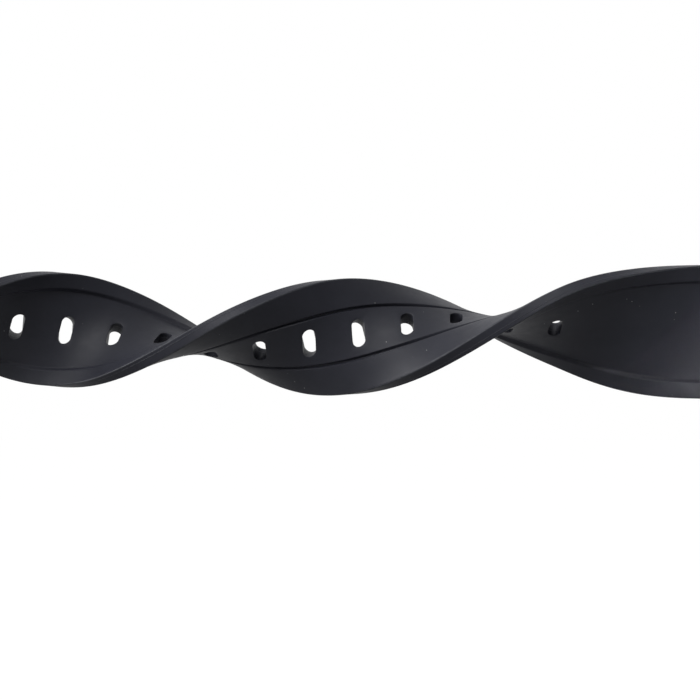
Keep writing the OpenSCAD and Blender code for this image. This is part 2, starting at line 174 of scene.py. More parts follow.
def moulded(u, v, half_w, fade):
    """Moves a point of the flat slab to the moulded section at half width half_w."""
    across = abs(u)
    if across > border_side:
        across += half_w - tail_half_w
    elif across > middle_side:
        share = (across - middle_side) / (border_side - middle_side)
        across = mix(middle_side, border_side + half_w - tail_half_w, share)
    crown = crown_drop * clamp((across - groove_u) / (half_w - groove_u)) ** 1.5
    groove = groove_d * smooth(1.15 - abs(across - groove_u) / groove_half)
    inset = half_w - across
    border = border_drop - border_rise * min(inset / border_w, 1)
    border *= smooth((border_w + border_slope + lip_r - inset) / (border_slope + 2 * lip_r))
    share = (v + half_t) / (2 * half_t)
    return math.copysign(across, u), v + fade * mix(-border, -crown - groove, share)


def round_bar(s, v, radius):
    """Wraps the slab's last stretch round a bar; s runs below 0 past the bar's middle."""
    angle = max(-s, 0) / radius
    return (s if s > 0 else -abs(v) * math.sin(angle)), v * math.cos(angle)


def long_section(s, u, v):
    """Section, lug knuckle, cup near it and rounded tip of the long half, untwisted."""
    tip_start = long_len - tip_r
    half_w = mix(lug_half_w, tail_half_w, smooth(s / taper_len))
    swell = smooth(s / knuckle_blend)
    fade = min(swell, smooth((tip_start - s) / fade_len))
    across, out = moulded(u, v, half_w, fade)
    out *= mix(knuckle_r / half_t, 1, swell)
    cupped = smooth((s - 1) / cup_ease) * smooth((cup_end - s) / cup_fade)
    out -= lug_cup * cupped * (across / half_w) ** 2
    if s > tip_start:
        a, b = (s - tip_start) / tip_r, u / tail_half_w
        s = tip_start + tip_r * a * math.sqrt(1 - b * b / 2)
        across = tail_half_w * b * math.sqrt(1 - a * a / 2)
    s, out = round_bar(s, out, knuckle_r)
    return s, across, out


# Held twist, as turn for each length, stronger towards the buckle.
turn = math.radians(450)
lug_straight, lug_ease = 4, 15.6
twist_end, tail_ease = 131, 5
twist_at_bar, twist_at_tail, twist_bulge = 1.55, 3.9, 1.4
coil_offset, coil_shift = 1.75, 0.55
coil_r2 = coil_offset ** 2 + coil_shift ** 2
twist_step = 0.05
# Small unevenness of the hold at every 10 mm: extra turn in degrees, then depth and height.
sway_pitch, sway_ease, sway_reach = 10, 8, 0.5
sways = (
    (0.86, 0.56, -0.88, -0.53, 1.26, 0, 0.87, 0.89, -0.22, -1.86, -1.09, -0.43),
    (-0.29, -0.73, -1.2, -0.6, 0.22, 0.43, -0.76, -0.63, 0.44, 1.77, 1.09, 0.42),
    (-0.37, -0.11, 0.14, -0.41, -0.18, 0.08, -0.11, -0.04, -0.4, -0.14, 0.04, 0.42),
)


def hump(q):
    """One smooth bump around 0, gone at 2 either way; such bumps add up to an even curve."""
    q = abs(q)
    return 2 / 3 - q * q + q ** 3 / 2 if q < 1 else max(2 - q, 0) ** 3 / 6


def sway(row, s):
    held = smooth((s - lug_straight) / sway_ease) * smooth((twist_end - s) / sway_ease)
    return held * sum(c * hump(s / sway_pitch - i) for i, c in enumerate(row, 1))


def twist_share(s):
    q = clamp(s / twist_end)
    share = mix(twist_at_bar, twist_at_tail, q) + twist_bulge * 4 * q * (1 - q)
    return share * smooth((s - lug_straight) / lug_ease) * smooth((twist_end - s) / tail_ease)


share_sum, run_sum = [0.0], [0.0]
for i in range(round(twist_end / twist_step)):
    share_sum.append(share_sum[-1] + twist_share((i + 0.5) * twist_step) * twist_step)
turn_scale = turn / share_sum[-1]
for i in range(len(share_sum) - 1):
    rate = twist_share((i + 0.5) * twist_step) * turn_scale
    run_sum.append(run_sum[-1] + math.sqrt(1 - coil_r2 * rate * rate) * twist_step)
sway_tables = [[sway(row, i * twist_step) for i in range(len(run_sum))] for row in sways]


def along_table(table, s):
    place = clamp(s / twist_end) * (len(table) - 1)
    i = min(int(place), len(table) - 2)
    return mix(table[i], table[i + 1], place - i)


def twisted(s, u, v):
    """Place in the held strap of a point at s along, u across and v out of its mid-plane."""
    # The two faces of a twisted strip lean against each other.
    s += twist_share(s) * turn_scale * u * v
    angle = along_table(share_sum, s) * turn_scale
    rate = twist_share(s) * turn_scale
    out = Vector((0, math.cos(angle), math.sin(angle)))
    side = Vector((0, -math.sin(angle), math.cos(angle)))
    advance = math.sqrt(1 - coil_r2 * rate * rate)
    along = Vector((-advance, 0, 0)) + rate * coil_offset * side - rate * coil_shift * out
    run = along_table(run_sum, s) + (s if s < 0 else max(s - twist_end, 0))
    middle = Vector((-run, -coil_offset, -coil_shift)) + coil_offset * out + coil_shift * side
    extra, *shifted = [along_table(table, s) for table in sway_tables]
    ahead = [along_table(table, s + sway_reach) for table in sway_tables[1:]]
    middle += Vector((0, *shifted))
    along += (Vector((0, *ahead)) - Vector((0, *shifted))) / sway_reach
    along.normalize()
    side = Matrix.Rotation(math.radians(extra), 3, "X") @ side
    across = (side - side.dot(along) * along).normalized()
    return (middle + u * across + v * along.cross(across)) * mm


def as_object(shape, name):
    mesh = bpy.data.meshes.new(name)
    shape.to_mesh(mesh)
    shape.free()
    piece = bpy.data.objects.new(name, mesh)
    bpy.context.scene.collection.objects.link(piece)
    return piece


def worked(piece, operation, tools):
    """Cuts or joins tools into a piece, and takes the tools away."""
    for tool in tools:
        step = piece.modifiers.new(operation, "BOOLEAN")
        step.operation, step.solver, step.object = operation, "EXACT", tool
    looks = piece.evaluated_get(bpy.context.evaluated_depsgraph_get())
    baked = bpy.data.meshes.new_from_object(looks)
    piece.modifiers.clear()
    piece.data = baked
    for tool in tools:
        bpy.data.objects.remove(tool)
    return piece


def turned(outline, steps=48, place=Matrix()):
    """A turned solid from (radius, distance along the axis) points, on its own Z axis."""
    shape = bmesh.new()
    ring = [shape.verts.new((r, 0, z)) for r, z in outline]
    pairs = zip(ring, ring[1:] + ([] if outline[0][0] == 0 else ring[:1]))
    edges = [shape.edges.new(pair) for pair in pairs]
    bmesh.ops.spin(
        shape, geom=ring + edges, cent=(0, 0, 0), axis=(0, 0, 1), angle=math.tau, steps=steps,
        use_merge=True,
    )
    bmesh.ops.remove_doubles(shape, verts=shape.verts, dist=0.0001)
    bmesh.ops.recalc_face_normals(shape, faces=shape.faces)
    bmesh.ops.transform(shape, matrix=place, verts=shape.verts)
    return shape


def block(low, high, corner=0.0, along="z"):
    """A block between two corners, with the edges along one axis rounded."""
    shape = bmesh.new()
    bmesh.ops.create_cube(shape, size=1)
    low, high = Vector(low), Vector(high)
    for v in shape.verts:
        v.co = [mix(a, b, c + 0.5) for a, b, c in zip(low, high, v.co)]
    if corner:
        axis = "xyz".index(along)
        upright = [
            e for e in shape.edges
            if abs((e.verts[0].co - e.verts[1].co)[axis]) > 0.9 * (high - low)[axis]
        ]
        bmesh.ops.bevel(
            shape, geom=upright, offset=corner, segments=4, profile=0.5, affect="EDGES",
            material=-1,
        )
    return shape


along_u = Matrix.Rotation(math.pi / 2, 4, "X")


def bar_bore(radius, half_w, s=0, out=0):
    """Cutter for the hole round a bar, with its two mouths eased."""
    mouth = 0.15
    outline = [
        (0, -half_w - 1), (radius + 1 + mouth, -half_w - 1), (radius, -half_w + mouth),
        (radius, half_w - mouth), (radius + 1 + mouth, half_w + 1), (0, half_w + 1),
    ]
    return turned(outline, 64, Matrix.Translation((s, 0, out)) @ along_u)


bar_tube_r, bar_tip_r = 0.9, 0.45
run_gap, slide_gap = 0.05, 0.3
lever_rest, tip_travel, lever_knob_r = 6.55, 1.3, 0.7


def lever_pocket(s=0):
    """Cutter for the pocket in which a release lever slides, open on the inner side."""
    half = bar_tube_r + run_gap
    end = lever_knob_r + slide_gap
    return block(
        (s - half, -lever_rest - end, -knuckle_r - 1),
        (s + half, -lever_rest + tip_travel + end, 0), 0.4,
    )


long_stations = even(-knuckle_r * math.pi / 2, 0, 8)
long_stations += even(0, slot_first - slot_room_s, 54)
long_slots = [slot_first + i * slot_pitch for i in range(slot_count)]
for s in long_slots:
    between = slot_pitch if s < long_slots[-1] else long_len - tip_r - s + slot_room_s
    long_stations += even(s - slot_room_s, s + slot_room_s, 8)
    long_stations += even(s + slot_room_s, s + between - slot_room_s, 10)
long_stations += even(long_len - tip_r, long_len, 14) + [long_len]

long_shape = flat_slab(long_stations, long_slots)
open_end(long_shape, long_stations[0])
round_rims(long_shape, long_len)
for v in long_shape.verts:
    v.co = long_section(*v.co)
bmesh.ops.remove_doubles(long_shape, verts=long_shape.verts, dist=weld)
long_strap = as_object(long_shape, "long_strap_skin")
worked(long_strap, "DIFFERENCE", [
    as_object(bar_bore(bar_tube_r + run_gap, lug_half_w), "bore"),
    as_object(lever_pocket(), "pocket"),
])
for v in long_strap.data.vertices:
    v.co = twisted(*v.co)


def put(tree, kind, sockets=None, **settings):
    """Adds a node; each named socket gets a constant or another node's output."""
    made = tree.nodes.new(kind)
    for name, value in settings.items():
        setattr(made, name, value)
    for socket, value in (sockets or {}).items():
        if isinstance(value, bpy.types.NodeSocket):
            tree.links.new(value, made.inputs[socket])
        else:
            made.inputs[socket].default_value = value
    return made


def surface_group(name, sockets):
    """An empty group for one surface effect, giving a colour, a roughness and a normal."""
    tree = bpy.data.node_groups.new(name, "ShaderNodeTree")
    for socket, value in sockets.items():
        kind = "Float" if isinstance(value, float) else {3: "Vector", 4: "Color"}[len(value)]
        made = tree.interface.new_socket(
            socket, in_out="INPUT", socket_type="NodeSocket" + kind
        )
        made.default_value = value
    for socket, kind in (("Color", "Color"), ("Roughness", "Float"), ("Normal", "Vector")):
        tree.interface.new_socket(socket, in_out="OUTPUT", socket_type="NodeSocket" + kind)
    return tree, tree.nodes.new("NodeGroupInput").outputs


def noise(tree, place, size, detail=2.0, rough=0.5):
    """Noise whose blotches are about size millimetres across."""
    return put(tree, "ShaderNodeTexNoise", {
        "Vector": place, "Scale": 1 / (size * mm), "Detail": detail, "Roughness": rough,
    }).outputs["Fac"]


def ranged(tree, value, low, high, to_low, to_high):
    return put(tree, "ShaderNodeMapRange", {
        "Value": value, "From Min": low, "From Max": high, "To Min": to_low, "To Max": to_high,
    }).outputs["Result"]


def times(tree, a, b):
    return put(tree, "ShaderNodeMath", {0: a, 1: b}, operation="MULTIPLY").outputs[0]


def tinted(tree, share, a, b, blend="MIX"):
    """Colour a with a share of colour b over it."""
    mixed = put(tree, "ShaderNodeMix", data_type="RGBA", blend_type=blend)
    for socket, value in ((0, share), (6, a), (7, b)):
        if isinstance(value, bpy.types.NodeSocket):
            tree.links.new(value, mixed.inputs[socket])
        else:
            mixed.inputs[socket].default_value = value
    return mixed.outputs[2]


def bumped(tree, heights):
    """Bumps laid one over the other, each from a height and its depth in millimetres."""
    normal = None
    for height, depth in heights:
        bump = put(tree, "ShaderNodeBump", {"Height": height, "Distance": depth * mm})
        if normal:
            tree.links.new(normal, bump.inputs["Normal"])
        normal = bump.outputs["Normal"]
    return normal


def give_out(tree, **values):
    result = tree.nodes.new("NodeGroupOutput")
    for socket, value in values.items():
        tree.links.new(value, result.inputs[socket])


# Moulded skin: faint mottling, a very fine matt grain, paler rubbed rims, a little dust that
# settles in patches, and the fine line that the mould's two halves leave round the edge.
seam_level = -0.35
moulded_skin, given = surface_group("moulded_skin", {
    "Tone": (0.0195, 0.0203, 0.0275, 1.0), "Rubbed": (0.05, 0.052, 0.06, 1.0), "Dust": 1.0,
})
place = put(moulded_skin, "ShaderNodeTexCoord").outputs["Object"]
mottle = noise(moulded_skin, place, 9, 4, 0.6)
haze = noise(moulded_skin, place, 1.4, 3, 0.6)
grain = noise(moulded_skin, place, 0.11, 2, 0.6)
tone = tinted(
    moulded_skin, ranged(moulded_skin, mottle, 0.3, 0.7, 0, 1),
    (0.86, 0.86, 0.87, 1), (1.16, 1.16, 1.15, 1),
)
tone = tinted(moulded_skin, 1.0, given["Tone"], tone, "MULTIPLY")
rim = put(moulded_skin, "ShaderNodeAttribute", attribute_name="rim").outputs["Fac"]
rubbed = times(moulded_skin, rim, ranged(moulded_skin, haze, 0.35, 0.65, 0.3, 1))
tone = tinted(moulded_skin, rubbed, tone, given["Rubbed"])
speck = put(moulded_skin, "ShaderNodeTexVoronoi", {
    "Vector": place, "Scale": 1 / (1.9 * mm), "Randomness": 1.0,
}).outputs["Distance"]
speck = times(moulded_skin, ranged(moulded_skin, speck, 0.025, 0.045, 1, 0), given["Dust"])
settled = ranged(moulded_skin, noise(moulded_skin, place, 3.5, 2), 0.42, 0.58, 0.15, 1)
speck = times(moulded_skin, speck, settled)
tone = tinted(moulded_skin, speck, tone, (0.3, 0.3, 0.3, 1))
level = put(moulded_skin, "ShaderNodeUVMap", uv_map="level").outputs["UV"]
level = put(moulded_skin, "ShaderNodeSeparateXYZ", {"Vector": level}).outputs["Y"]
level = put(moulded_skin, "ShaderNodeMath", {0: level, 1: seam_level}, operation="SUBTRACT")
level = put(moulded_skin, "ShaderNodeMath", {0: level.outputs[0]}, operation="ABSOLUTE")
seam = ranged(moulded_skin, level.outputs[0], 0.02, 0.07, 1, 0)
tone = tinted(moulded_skin, times(moulded_skin, seam, 0.35), tone, given["Rubbed"])
give_out(
    moulded_skin, Color=tone, Roughness=ranged(moulded_skin, haze, 0.3, 0.7, 0.42, 0.5),
    Normal=bumped(moulded_skin, [(haze, 0.012), (grain, 0.006), (seam, 0.03)]),
)


def finish_from(group, name, sockets, **shader):
    """A material from one surface group, with the shader's constants on its own sockets."""
    material = bpy.data.materials.new(name)
    material.use_nodes = True
    tree = material.node_tree
    skin = put(tree, "ShaderNodeGroup", node_tree=group)
    for socket, value in sockets.items():
        skin.inputs[socket].default_value = value
    surface = tree.nodes["Principled BSDF"]
    for socket, value in shader.items():
        surface.inputs[socket.replace("_", " ")].default_value = value
    for socket in ("Color", "Roughness", "Normal"):
        target = "Base Color" if socket == "Color" else socket
        tree.links.new(skin.outputs[socket], surface.inputs[target])
    return material


strap_silicone = finish_from(
    moulded_skin, "strap_silicone", {}, IOR=1.41, Specular_IOR_Level=0.25,
)


def complete(piece, material, slot, body, *nodes, sharp=40):
    """Shades a piece, sets it on its body where one is named, and hides its plain solids."""
    piece.data.materials.clear()
    piece.data.materials.append(material)
    piece.data.polygons.foreach_set("material_index", [0] * len(piece.data.polygons))
    piece.data.shade_smooth()
    piece.data.set_sharp_from_angle(angle=math.radians(sharp))
    weighted = piece.modifiers.new("weighted", "WEIGHTED_NORMAL")
    weighted.keep_sharp = True
    if isinstance(body, str):
        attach(piece, body)
    else:
        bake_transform(piece)
    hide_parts(*nodes)


complete(long_strap, strap_silicone, "silicone", "long_half", "long_strap")

# Spring bars: a stainless tube crimped in at its ends, with a coil spring inside and a
# shouldered pin at each end that can be pressed in. The two at the watch have one pin with a
# small knob through a slot on the inner side, so that they can be let go by hand.
bar_tube_wall = 0.29
crimp_t = 0.4
tip_out, flange_t = 1.0, 0.6
head_len, guide_len = 2.0, 1.2
wire_r, wire_turns = 0.1, 10
lever_stem_r, lever_knob_h, lever_proud = 0.28, 1.1, 0.5
ease = 0.06
tip_nose = 0.16
# A knob's outline from its underside to its top, by how far in from its side and its top.
knob_outline = [
    (0.1, lever_knob_h), (0, lever_knob_h - 0.1), (0, 0.5), (0.07, 0.44), (0.07, 0.36), (0, 0.3),
    (0.04, 0.14), (0.16, 0.04), (0.32, 0),
]

worked_steel, given = surface_group("worked_steel", {
    "Tone": (0.56, 0.56, 0.58, 1.0), "Lines": (1.0, 1.0, 1.0), "Dulling": 0.3,
})
place = put(worked_steel, "ShaderNodeTexCoord").outputs["Object"]
lined = put(worked_steel, "ShaderNodeVectorMath", {
    0: place, 1: given["Lines"],
}, operation="MULTIPLY")
lines = noise(worked_steel, lined.outputs[0], 0.1, 3, 0.7)
smudge = noise(worked_steel, place, 3.5, 3, 0.6)
shade = tinted(
    worked_steel, ranged(worked_steel, lines, 0.3, 0.7, 0, 1),
    (0.88, 0.88, 0.88, 1), (1.08, 1.08, 1.08, 1),
)
tone = tinted(worked_steel, 1.0, given["Tone"], shade, "MULTIPLY")
tone = tinted(
    worked_steel, ranged(worked_steel, smudge, 0.5, 0.8, 0, 0.35), tone, (0.4, 0.39, 0.38, 1),
)
dull = put(worked_steel, "ShaderNodeMath", {
    0: given["Dulling"], 1: ranged(worked_steel, smudge, 0.3, 0.7, -0.05, 0.09),
}, operation="ADD").outputs[0]
give_out(
    worked_steel, Color=tone, Roughness=dull, Normal=bumped(worked_steel, [(lines, 0.003)]),
)
bar_steel = finish_from(
    worked_steel, "turned_steel", {"Lines": (1.0, 1.0, 6.0), "Dulling": 0.24}, Metallic=1.0,
)
cross_bar_steel = finish_from(
    worked_steel, "cross_turned_steel", {"Lines": (1.0, 6.0, 1.0), "Dulling": 0.24}, Metallic=1.0,
)
wire_steel = finish_from(
    worked_steel, "drawn_wire", {"Tone": (0.46, 0.46, 0.49, 1.0), "Dulling": 0.33}, Metallic=1.0,
)


def eased(radius, start, end, inner=0.0):
    """Half the outline of a collar from start to end, with its two edges taken off."""
    cut = min(ease, radius - inner)
    return [
        (radius - cut, start), (radius, start + cut), (radius, end - cut), (radius - cut, end),
    ]


def spring_bar(label, tube_r, tip_r, half_w, out_len, place, steel, tips, hub, levered):
    """One spring bar along Z, +Y outwards; tips are (name, is upper, body) for its pins."""
    bore_r = tube_r - bar_tube_wall
    half = half_w - flange_t - tip_travel - run_gap
    head_at = half - crimp_t - head_len
    head_r = bore_r - run_gap
    crimp = 0.2
    mouth = tip_r + run_gap
    shoulder = [(tube_r, half - crimp), (tube_r - ease, half - ease), (tube_r - crimp, half)]
    inside = [(mouth, half), (mouth, half - crimp_t), (bore_r, half - crimp_t)]
    upper = shoulder + inside
    tube = as_object(
        turned([(r, -z) for r, z in reversed(upper)] + upper, 48), label + "_bar_tube_skin"
    )
    stem = lever_stem_r + run_gap
    lever_place = Matrix.Translation((0, 0, -lever_rest)) @ along_u
    if levered:
        worked(tube, "DIFFERENCE", [as_object(block(
            (-stem, -2 * tube_r, -lever_rest - stem),
            (stem, 0, -lever_rest + tip_travel + stem), stem * 0.98, "y",
        ), "slot")])
    coil_r = head_r - wire_r
    coil_half = head_at - wire_r
    wire = bmesh.new()
    ring = bmesh.ops.create_circle(
        wire, segments=8, radius=wire_r, matrix=Matrix.Translation((coil_r, 0, 0)) @ along_u,
    )["verts"]
    # Half of the spring, from the bar's middle up; each pin's end of the bar gets its own half.
    steps = 12 * wire_turns
    bmesh.ops.spin(
        wire, geom=ring + list({e for v in ring for e in v.link_edges}), cent=(0, 0, 0),
        axis=(0, 0, 1), angle=math.pi * wire_turns, steps=steps, dvec=(0, 0, coil_half / steps),
    )
    bmesh.ops.holes_fill(wire, edges=[e for e in wire.edges if e.is_boundary], sides=0)
    bmesh.ops.recalc_face_normals(wire, faces=wire.faces)
    guide_r = head_r - 2 * wire_r - 2 * run_gap
    neck_end = half_w - flange_t
    pin = [(0, head_at - guide_len)] + eased(guide_r, head_at - guide_len, head_at)[:2]
    pin += [(guide_r, head_at)] + eased(head_r, head_at, head_at + head_len, guide_r)
    pin += [(tip_r, head_at + head_len), (tip_r, neck_end)]
    pin += eased((tube_r + tip_r) / 2, neck_end, half_w, tip_r) + [(tip_r, half_w)]
    end = half_w + out_len
    pin += [(tip_r, end - tip_nose), (tip_r - 0.05, end - 0.05), (tip_r - tip_nose, end), (0, end)]
    pieces = [(tube, "_bar_tube", hub, steel, "steel")]
    for name, upwards, body in tips:
        turn_over = Matrix() if upwards else Matrix.Rotation(math.pi, 4, "X")
        bmesh.ops.transform(wire, matrix=turn_over, verts=wire.verts)
        coil = as_object(wire.copy(), f"{label}_bar_spring_skin_{'a' if upwards else 'b'}")
        coil_end = mm * (place @ turn_over @ Vector((0, 0, coil_half)))
        follow = (hub, body, mm * place.translation, coil_end)
        pieces.append((coil, "_bar_spring", follow, wire_steel, "spring_wire"))
        tip = as_object(turned(pin, 40, turn_over), label + name + "_skin")
        if levered and not upwards:
            hole = [(0, -1), (lever_stem_r, -1), (lever_stem_r, 1), (0, 1)]
            worked(tip, "DIFFERENCE", [as_object(turned(hole, 24, lever_place), "hole")])
        pieces.append((tip, name, body, steel, "steel"))
    wire.free()
    if levered:
        knob_at = knuckle_r + lever_proud - lever_knob_h
        top = knob_at + lever_knob_h
        lever = [(0, -0.3), (lever_stem_r - 0.04, -0.3), (lever_stem_r, -0.26)]
        lever += [(lever_stem_r, knob_at)]
        lever += [(lever_knob_r - inward, top - down) for inward, down in knob_outline]
        lever = turned(lever + [(0, top)], 40, lever_place)
        body = [body for name, upwards, body in tips if not upwards][0]
        pieces.append((
            as_object(lever, label + "_bar_lever_skin"), "_bar_lever", body, steel, "steel",
        ))
    for piece, name, body, material, slot in pieces:
        piece.data.transform(Matrix.Scale(mm, 4) @ place)
        complete(piece, material, slot, body, label + name, sharp=30)


spring_bar(
    "long", bar_tube_r, bar_tip_r, lug_half_w, tip_out, Matrix(), bar_steel,
    [("_bar_tip_top", True, "long_top_tip"), ("_bar_tip_bottom", False, "long_release")],
    "long_half", True,
)

# Short half of the strap: the same silicone moulding without slots, round the buckle's bar at
# one end and the watch's bar at the other, with a notch in each edge that keeps a keeper.
tail_y, tail_top, tail_low = -2.3, 2.35, -0.65
short_len, short_taper = 76, 36
hinge_r, hinge_blend = 1.6, 5
pivot_x, pivot_z = -139.195, -2.55
short_z = tail_low - slide_gap - half_t
short_z += crown_drop * ((tail_half_w - border_w - groove_u) / (tail_half_w - groove_u)) ** 1.5
hinge_mid = pivot_z - short_z
buckle_tube_r = 0.75
prong_eye_r, prong_eye_w = 1.45, 2.3
keeper_w, fixed_keeper_at = 4, 7
notch_d, notch_corner_r = 0.4, 0.12


def short_section(s, u, v):
    """Section and the two rolled ends of the short half, still flat."""
    to_lug = short_len - s
    swell, lug_swell = smooth(s / hinge_blend), smooth(to_lug / knuckle_blend)
    half_w = mix(lug_half_w, tail_half_w, smooth(to_lug / short_taper))
    across, out = moulded(u, v, half_w, min(swell, lug_swell))
    if s < short_len / 2:
        out *= mix(hinge_r / half_t, 1, swell)
        s, out = round_bar(s, out, hinge_r)
        return s, across, out + mix(hinge_mid, 0, swell)
    out *= mix(knuckle_r / half_t, 1, lug_swell)
    to_lug, out = round_bar(to_lug, out, knuckle_r)
    return short_len - to_lug, across, out


short_stations = even(-hinge_r * math.pi / 2, 0, 8) + even(0, short_len, 76)
short_stations += even(short_len, short_len + knuckle_r * math.pi / 2, 8)
short_stations.append(short_len + knuckle_r * math.pi / 2)
short_shape = flat_slab(short_stations, [])
open_end(short_shape, short_stations[0])
open_end(short_shape, short_stations[-1])
round_rims(short_shape, short_len + 2 * knuckle_r)
for v in short_shape.verts:
    v.co = short_section(*v.co)
bmesh.ops.remove_doubles(short_shape, verts=short_shape.verts, dist=weld)
short_strap = as_object(short_shape, "short_strap_skin")
notch_s = fixed_keeper_at - run_gap, fixed_keeper_at + keeper_w + run_gap
prong_room = prong_eye_r + slide_gap
prong_half = prong_eye_w / 2 + run_gap
cutters = [
    as_object(bar_bore(buckle_tube_r + run_gap, tail_half_w, 0, hinge_mid), "hinge_bore"),
    as_object(bar_bore(bar_tube_r + run_gap, lug_half_w, short_len), "lug_bore"),
]
for side in (-1, 1):
    low, high = sorted((side * (tail_half_w - notch_d), side * 10))
    cutters.append(as_object(
        block((notch_s[0], low, -4), (notch_s[1], high, 4), notch_corner_r), "notch"
    ))
worked(short_strap, "DIFFERENCE", cutters)
worked(short_strap, "DIFFERENCE", [
    as_object(lever_pocket(short_len), "pocket"),
    as_object(block((-4, -prong_half, -6), (prong_room, prong_half, 6), 0.3), "prong_slot"),
])
for v in short_strap.data.vertices:
    s, u, out = v.co
    v.co = Vector((pivot_x - s, tail_y - u, short_z + out)) * mm
complete(short_strap, strap_silicone, "silicone", "short_half", "short_strap")
short_bar_place = Matrix.Translation((pivot_x - short_len, tail_y, short_z)) @ along_u
spring_bar(
    "short", bar_tube_r, bar_tip_r, lug_half_w, tip_out, short_bar_place, cross_bar_steel,
    [("_bar_tip_left", True, "short_left_tip"), ("_bar_tip_right", False, "short_release")],
    "short_half", True,
)

# Buckle frame: cast and polished stainless steel, two curved arms from their eyes up and over
# to a round cross bar, bored on the inside for the bar's pins and dished for the prong.
side_gap = 0.5
arm_w, arm_h, eye_r = 2.0, 2.2, 1.7
reach, cross_r, corner_r = 8, 1.1, 1.4
rest_d, rest_half_w = 0.4, 0.9
frame_half = tail_half_w + side_gap
cross_z = tail_top + slide_gap + cross_r - pivot_z
buckle_tip_r = 0.4
ring_count = 28

bend = [Vector((0, 0)), Vector((reach * 0.2, cross_z * 0.9)), Vector((reach, cross_z))]


def arm_point(q):
    return (1 - q) ** 2 * bend[0] + 2 * q * (1 - q) * bend[1] + q * q * bend[2]


def arm_way(q):
    return ((1 - q) * (bend[1] - bend[0]) + q * (bend[2] - bend[1])).normalized()


arm_end = 1 - corner_r / (2 * (bend[2] - bend[1]).length)
arm_rows, corner_rows, cross_rows = 20, 10, 12
half_rows = arm_rows + corner_rows + cross_rows
arm_mid = frame_half + arm_w / 2


def frame_ring(row):
    """Middle, side and upper direction and squareness of one ring of the half frame."""
    q = min(row / arm_rows, 1) * arm_end
    point, way = arm_point(q), arm_way(q)
    middle = Vector((point.x, arm_mid, point.y))
    way = Vector((way.x, 0, way.y))
    upper = Vector((-way.z, 0, way.x))
    side = Vector((0, 1, 0))
    round_share = 0.0
    if row > arm_rows:
        way = Vector((bend[2].x, arm_mid, bend[2].y)) - middle
        way.normalize()
        upper = Vector((-way.z, 0, way.x))
        angle = clamp((row - arm_rows) / corner_rows) * math.pi / 2
        middle += corner_r * (math.sin(angle) * way - (1 - math.cos(angle)) * side)
        side = math.cos(angle) * side + math.sin(angle) * way
        round_share = smooth(angle / (math.pi / 2))
    if row > arm_rows + corner_rows:
        middle.y = mix(arm_mid - corner_r, 0, (row - arm_rows - corner_rows) / cross_rows)
    return middle, side, upper, round_share


frame_shape = bmesh.new()
bmesh.ops.create_grid(frame_shape, x_segments=half_rows, y_segments=ring_count, size=1)
for v in frame_shape.verts:
    row = round((v.co.x + 1) / 2 * half_rows)
    angle = (v.co.y + 1) * math.pi
    middle, side, upper, round_share = frame_ring(row)
    power = mix(0.5, 1, round_share)
    a, b = (math.copysign(abs(c) ** power, c) for c in (math.cos(angle), math.sin(angle)))
    v.co = middle + side * a * mix(arm_w / 2, cross_r, round_share) + upper * b * arm_h / 2
bmesh.ops.remove_doubles(frame_shape, verts=frame_shape.verts, dist=0.0005)
bmesh.ops.mirror(
    frame_shape, geom=frame_shape.verts[:] + frame_shape.edges[:] + frame_shape.faces[:],
    axis="Y", merge_dist=0.001,
)
bmesh.ops.holes_fill(
    frame_shape, edges=[e for e in frame_shape.edges if e.is_boundary], sides=0
)
bmesh.ops.recalc_face_normals(frame_shape, faces=frame_shape.faces)
buckle_frame = as_object(frame_shape, "buckle_frame_skin")
eye_round = 0.35
eye_outline = [(0, -arm_w / 2), (eye_r - eye_round, -arm_w / 2)]
for i in range(1, 5):
    angle = i / 5 * math.pi / 2
    eye_outline.append((
        eye_r - eye_round * (1 - math.sin(angle)), -arm_w / 2 + eye_round * (1 - math.cos(angle))
    ))
eye_outline.append((eye_r, -arm_w / 2 + eye_round))
eye_outline += [(r, -z) for r, z in reversed(eye_outline)]
worked(buckle_frame, "UNION", [
    as_object(
        turned(eye_outline, 64, Matrix.Translation((0, side * arm_mid, 0)) @ along_u), "eye"
    ) for side in (-1, 1)
])
blind = frame_half + tip_out + run_gap
bore_r = buckle_tip_r + run_gap
bore = [(0, -blind), (bore_r, -blind), (bore_r, blind), (0, blind)]
worked(buckle_frame, "DIFFERENCE", [
    as_object(turned(bore, 40, along_u), "bore"),
    as_object(block(
        (reach - 2 * cross_r, -rest_half_w, cross_z + cross_r - rest_d),
        (reach + 2 * cross_r, rest_half_w, cross_z + 2 * cross_r), 0.25, "x",
    ), "rest"),
])
at_pivot = Matrix.Scale(mm, 4) @ Matrix.Translation((pivot_x, tail_y, pivot_z))
buckle_frame.data.transform(at_pivot)
buckle_steel = finish_from(
    worked_steel, "buckle_steel", {"Lines": (1.0, 8.0, 1.0), "Dulling": 0.2}, Metallic=1.0,
)
complete(buckle_frame, buckle_steel, "buckle_steel", "buckle", "buckle_frame", sharp=35)
buckle_bar_place = Matrix.Translation((pivot_x, tail_y, pivot_z)) @ along_u
spring_bar(
    "buckle", buckle_tube_r, buckle_tip_r, tail_half_w, side_gap + tip_out, buckle_bar_place,
    cross_bar_steel,
    [("_bar_tip_left", True, "buckle_left_tip"), ("_bar_tip_right", False, "buckle_right_tip")],
    "short_half", False,
)

